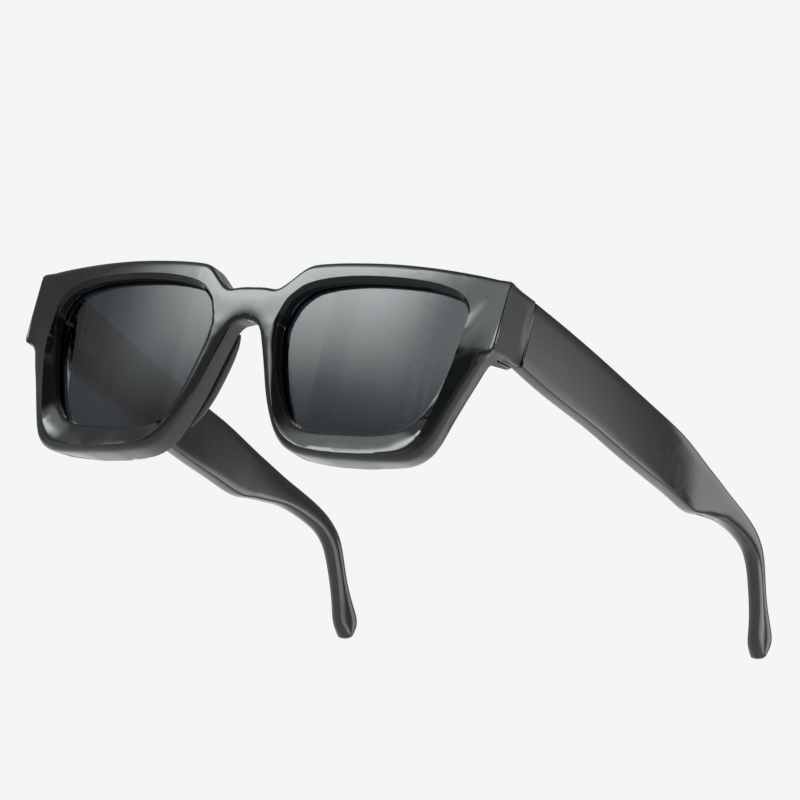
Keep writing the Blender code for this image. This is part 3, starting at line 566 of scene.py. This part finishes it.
def drawUpCorners(piece, look):
    # the outer wall of each end block is made flat and turned to run straighter back, and the
    # roll between it and the face is drawn up to a small rounding
    places = valuesOf(piece.data.vertices, "co")
    normals = valuesOf(piece.data.vertices, "normal")
    roll, squeeze = look["roll"], look["smallRoll"] / look["roll"]

    def drawnUp(depth):
        return np.where(depth < roll, depth * squeeze, roll * squeeze + (depth - roll) * (2 - squeeze))

    def shareAt(depth):
        return 1 - easedShare(depth / roll - 0.5)

    for side in (1, -1):
        start, back, up = places[:, 0] * side, places[:, 1], places[:, 2]
        outward, forward = normals[:, 0] * side, -normals[:, 1]
        above = np.clip((up - look["cornerLow"]) / look["cornerFade"], 0, 1)
        below = np.clip((look["cornerHigh"] - up) / look["cornerFade"], 0, 1)
        block = (start > look["blockBeyond"]) & (above > 0)

        # the planes of the wall and of the face beside it, from their clear middle part
        clear = block & (up > look["clearLow"]) & (up < look["clearHigh"])
        wall = clear & (outward > look["level"]) & (start > look["wallBeyond"]) & (back < look["wallEnd"])
        wallFit = flatThrough(start, back, up, wall)
        face = clear & (forward > look["faceLevel"]) & (start > look["faceBeyond"])
        face &= start < look["wallBeyond"] - roll
        face &= back < faceFrontY(start) + look["blockBehind"]
        faceFit = flatThrough(back, start, up, face)

        # the wall is turned, and every point gets its depth behind the face and in the wall
        turned = np.clip(back - look["wallStart"], 0, look["wallEnd"] - look["wallStart"])
        deep = wallFit[0] + wallFit[1] * back + wallFit[2] * up - start
        out = start + look["wallTurn"] * turned * np.clip(1 - deep / look["turnDepth"], 0, 1)
        wallFit += [-look["wallTurn"] * look["wallStart"], look["wallTurn"], 0]
        inside = wallFit[0] + wallFit[1] * back + wallFit[2] * up - out
        behind = back - faceFit[0] - faceFit[1] * out - faceFit[2] * up

        # the roll's points are drawn towards the corner, and the wall's points on to its plane
        close = block & (behind < 2 * roll) & (inside < 2 * roll)
        newBehind = behind + close * (drawnUp(behind) - behind) * shareAt(inside) * below
        newInside = inside + close * (drawnUp(inside) - inside) * shareAt(behind)
        wall = block & (outward > look["wallLevel"]) & (np.abs(inside) < look["wallDip"])
        newInside[wall] *= 1 - below[wall]
        wallAt = wallFit[0] + wallFit[2] * up - newInside
        newBack = faceFit[0] + faceFit[2] * up + newBehind + faceFit[1] * wallAt
        newBack /= 1 - faceFit[1] * wallFit[1]
        newOut = wallAt + wallFit[1] * newBack
        places[:, 0] += block * side * (newOut - start) * above
        places[:, 1] += block * (newBack - back) * above
    setPlaces(piece.data, places)


frontShell = copyOfNode("front_frame", "frontShell")
recutFlat(frontShell, *front["bridgeFlat"], front)
smoothCurves(frontShell, front)
for part in ("bridge", "leftEnd", "rightEnd"):
    evenOut(frontShell, *front[part], front)
crownFace(frontShell, front)
drawUpCorners(frontShell, front)
shadeByAngle(frontShell, front["shadeAngle"])
finishPiece(frontShell, "front", blackAcetate, "front_frame")
print("front made:", len(frontShell.data.polygons), "faces")


# the lenses: flattened, cut into small squares, then bent back to their curve
def cutAcross(normal, low, high, step):
    for index in range(1, math.ceil((high - low) / step)):
        bpy.ops.mesh.select_all(action="SELECT")
        bpy.ops.mesh.bisect(plane_co=Vector(normal) * (low + index * step), plane_no=normal)


for side in ("left", "right"):
    pane = copyOfNode(f"lens_{side}", f"lensPane_{side}")
    for vert in pane.data.vertices:
        vert.co.y -= lensFrontY(vert.co.x, vert.co.z)
    low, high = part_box(f"lens_{side}")
    bpy.ops.object.mode_set(mode="EDIT")
    bpy.ops.mesh.select_all(action="SELECT")
    bpy.ops.mesh.dissolve_limited(angle_limit=lens["flatAngle"])
    cutAcross((1, 0, 0), low[0], high[0], lens["cell"])
    cutAcross((0, 0, 1), low[2], high[2], lens["cell"])
    bpy.ops.object.mode_set(mode="OBJECT")
    for vert in pane.data.vertices:
        vert.co.y += lensFrontY(vert.co.x, vert.co.z)
    bpy.ops.object.shade_smooth_by_angle(angle=lens["shadeAngle"])
    finishPiece(pane, "front", greyLens, f"lens_{side}")
    print("lens made:", len(pane.data.polygons), "faces")

# the nose pads
pad = {
    "levels": 3,
    "fits": 4,
    "softBelow": math.radians(60),
    "firmAbove": math.radians(100),
    "shadeAngle": math.radians(35),
}
for side in ("left", "right"):
    nosePad = copyOfNode(f"nose_pad_{side}", f"nosePad_{side}")
    smoothCurves(nosePad, pad)
    finishPiece(nosePad, "front", padAcetate, f"nose_pad_{side}")
print("nose pads made")

# the temples
temple = {
    "rounding": 0.15 * mm,
    "segments": 2,
    "sharp": math.radians(40),
    "levels": 1,
    "fits": 0,
    "softBelow": math.radians(75),
    "firmAbove": math.radians(120),
    "shadeAngle": math.radians(40),
}
for side in ("left", "right"):
    bar = copyOfNode(f"temple_{side}", f"templeBar_{side}")
    roundEdges(bar, temple)
    smoothCurves(bar, temple)
    finishPiece(bar, f"temple_{side}", blackAcetate, f"temple_{side}")
print("temples made")

# hinges, screws and core wires keep their own solids
for name, node in nodes.items():
    if node.hide_render:
        continue
    node.data.materials.clear()
    node.data.materials.append(screwSteel if "screw" in name else gunmetal)
print("hinges finished")

# a pale floor, clear from below, where the photograph's camera looks up past it. For gloss it glows as a
# painted reflection: painted shade ahead of the face, a paler glow behind it.
floorLook = {
    "size": 6.0,
    "level": -0.3 * mm,
    "colour": "#e8e9ea",
    "roughness": 0.7,
    "dim": 0.5,
    "pale": 1.5,
    "dimAt": -100 * mm,
    "paleAt": -70 * mm,
}
deselectAll()
bpy.ops.mesh.primitive_plane_add(size=floorLook["size"], location=(0, 0, floorLook["level"]))
floor = bpy.context.active_object
floor.name = "paleFloor"
floorMaterial, tree, shader = newMaterial("palePaintedBoard")
shader.inputs["Base Color"].default_value = hexColour(floorLook["colour"])
shader.inputs["Roughness"].default_value = floorLook["roughness"]
clear = addNode(tree, "ShaderNodeBsdfTransparent")
floorPlace = addNode(tree, "ShaderNodeTexCoord")
floorParts = addNode(tree, "ShaderNodeSeparateXYZ", {}, {0: floorPlace.outputs["Object"]})
# painted reflection: the floor's glow for gloss runs from dim ahead of the face to pale behind it
glowStrength = addNode(
    tree,
    "ShaderNodeMapRange",
    {
        "From Min": floorLook["dimAt"],
        "From Max": floorLook["paleAt"],
        "To Min": floorLook["dim"],
        "To Max": floorLook["pale"],
    },
    {"Value": floorParts.outputs["Y"]},
)
glow = addNode(
    tree,
    "ShaderNodeEmission",
    {"Color": hexColour(floorLook["colour"])},
    {"Strength": glowStrength.outputs["Result"]},
)
floorPaths = addNode(tree, "ShaderNodeLightPath")
mirrored = addNode(
    tree,
    "ShaderNodeMixShader",
    {},
    {0: floorPaths.outputs["Is Glossy Ray"], 1: shader.outputs[0], 2: glow.outputs[0]},
)
backSide = addNode(tree, "ShaderNodeNewGeometry")
chooser = addNode(
    tree,
    "ShaderNodeMixShader",
    {},
    {0: backSide.outputs["Backfacing"], 1: mirrored.outputs[0], 2: clear.outputs[0]},
)
tree.links.new(chooser.outputs[0], tree.nodes["Material Output"].inputs["Surface"])
floor.data.materials.append(floorMaterial)

# the studio: white all round for the camera and for glass. For gloss it is dimmer, and almost
# dark towards one side.
studio = {
    "white": "#f4f5f6",
    "fill": 0.45,
    "wallGloss": 0.45,
    "darkGloss": 0.06,
    "darkTowards": (0.54, -0.77, 0.34),
    "darkEdge": math.cos(math.radians(48)),
    "darkFull": math.cos(math.radians(25)),
    "aim": (0, -0.075, 0.026),
}
world = bpy.data.worlds.new("studio")
bpy.context.scene.world = world
world.use_nodes = True
worldTree = world.node_tree
background = worldTree.nodes["Background"]
background.inputs["Color"].default_value = hexColour(studio["white"])
paths = addNode(worldTree, "ShaderNodeLightPath")
seen = addNode(
    worldTree,
    "ShaderNodeMath",
    {"operation": "MAXIMUM"},
    {0: paths.outputs["Is Camera Ray"], 1: paths.outputs["Is Transmission Ray"]},
)
shown = addNode(
    worldTree,
    "ShaderNodeMapRange",
    {"To Min": studio["fill"], "To Max": 1.0},
    {"Value": seen.outputs[0]},
)
towards = addNode(worldTree, "ShaderNodeTexCoord")
darkSide = addNode(
    worldTree,
    "ShaderNodeVectorMath",
    {"operation": "DOT_PRODUCT", 1: studio["darkTowards"]},
    {0: towards.outputs["Generated"]},
)
gloss = addNode(
    worldTree,
    "ShaderNodeMapRange",
    {
        "interpolation_type": "SMOOTHSTEP",
        "From Min": studio["darkEdge"],
        "From Max": studio["darkFull"],
        "To Min": studio["wallGloss"],
        "To Max": studio["darkGloss"],
    },
    {"Value": darkSide.outputs["Value"]},
)
strength = addNode(
    worldTree,
    "ShaderNodeMix",
    {"data_type": "FLOAT"},
    {0: paths.outputs["Is Glossy Ray"], 2: shown.outputs["Result"], 3: gloss.outputs["Result"]},
)
worldTree.links.new(strength.outputs[0], background.inputs["Strength"])

# each box: place, width and height, the share that fades at its left, right, low and high
# side, power and colour
softBoxes = {
    "keyBox": ((-0.769, -1.114, 0.684), (0.91, 0.67), (0.38, 0.26, 0.31, 0.38), 18, "#eef6f3"),
    "haloBox": ((-0.612, -1.092, 0.882), (1.54, 1.29), (0.29, 0.36, 0.11, 0.32), 12.5, "#eef6f3"),
    "topBox": ((0.15, 0.35, 1.3), (0.9, 0.7), (0.4, 0.4, 0.4, 0.4), 12, "#f7f8f8"),
    "sideBox": ((0.706, 0.347, 0.12), (0.8, 0.487), (0.29, 0.3, 0.3, 0.5), 3.7, "#f3f3f8"),
    "edgeStrip": ((1.0, -0.76, 0.36), (0.2, 0.45), (0.3, 0.3, 0.3, 0.3), 1.6, "#ffffff"),
    "frontCard": ((-0.18, -1.36, 0.55), (0.6, 0.5), (0.35, 0.35, 0.3, 0.3), 1.7, "#eef6f3"),
    "rearCard": ((0.55, 1.37, 0.42), (0.5, 0.55), (0.2, 0.12, 0.2, 0.2), 1.6, "#f3f3f8"),
    "earCard": ((0.677, 0.7225, 0.129), (0.3, 0.2), (0.35, 0.35, 0.35, 0.35), 0.55, "#f3f3f8"),
}
for boxName, (place, size, soft, power, colour) in softBoxes.items():
    lampData = bpy.data.lights.new(boxName, "AREA")
    lampData.shape = "RECTANGLE"
    lampData.size, lampData.size_y = size
    lampData.energy = power
    lampData.color = hexColour(colour)[:3]
    lampData.use_nodes = True
    lampTree = lampData.node_tree
    spot = addNode(lampTree, "ShaderNodeNewGeometry")
    across = addNode(lampTree, "ShaderNodeSeparateXYZ", {}, {0: spot.outputs["Parametric"]})
    ends = [(0, 0.0, soft[0]), (0, 1.0, 1 - soft[1]), (1, 0.0, soft[2]), (1, 1.0, 1 - soft[3])]
    last = None
    for axis, dark, full in ends:
        rim = addNode(
            lampTree,
            "ShaderNodeMapRange",
            {"interpolation_type": "SMOOTHSTEP", "From Min": dark, "From Max": full},
            {"Value": across.outputs[axis]},
        )
        if last:
            rim = addNode(
                lampTree,
                "ShaderNodeMath",
                {"operation": "MULTIPLY"},
                {0: last.outputs[0], 1: rim.outputs[0]},
            )
        last = rim
    lampTree.links.new(last.outputs[0], lampTree.nodes["Emission"].inputs["Strength"])
    lamp = bpy.data.objects.new(boxName, lampData)
    bpy.context.scene.collection.objects.link(lamp)
    lamp.location = place
    lamp.rotation_euler = (Vector(studio["aim"]) - lamp.location).to_track_quat("-Z", "Y").to_euler()
    lamp.visible_camera = False
bpy.context.scene.view_settings.view_transform = "Standard"
print("studio set")

# the camera stands low and out to the side of +X, as in the photograph
cameraLook = {
    "sensor": 36,
    "lens": 339.82,
    "far": 20,
    "at": (1.13382, -1.486635, -0.46879),
    "right": (0.80896469, 0.54684031, 0.21573548),
    "up": (-0.02131008, -0.33946578, 0.94037698),
    "ahead": (-0.58747086, 0.76532911, 0.26296262),
}
cameraData = bpy.data.cameras.new("photoCamera")
cameraData.sensor_width = cameraLook["sensor"]
cameraData.lens = cameraLook["lens"]
cameraData.clip_end = cameraLook["far"]
camera = bpy.data.objects.new("photoCamera", cameraData)
bpy.context.scene.collection.objects.link(camera)
turn = Matrix((cameraLook["right"], cameraLook["up"], -Vector(cameraLook["ahead"]))).transposed()
camera.matrix_world = Matrix.Translation(cameraLook["at"]) @ turn.to_4x4()
bpy.context.scene.camera = camera
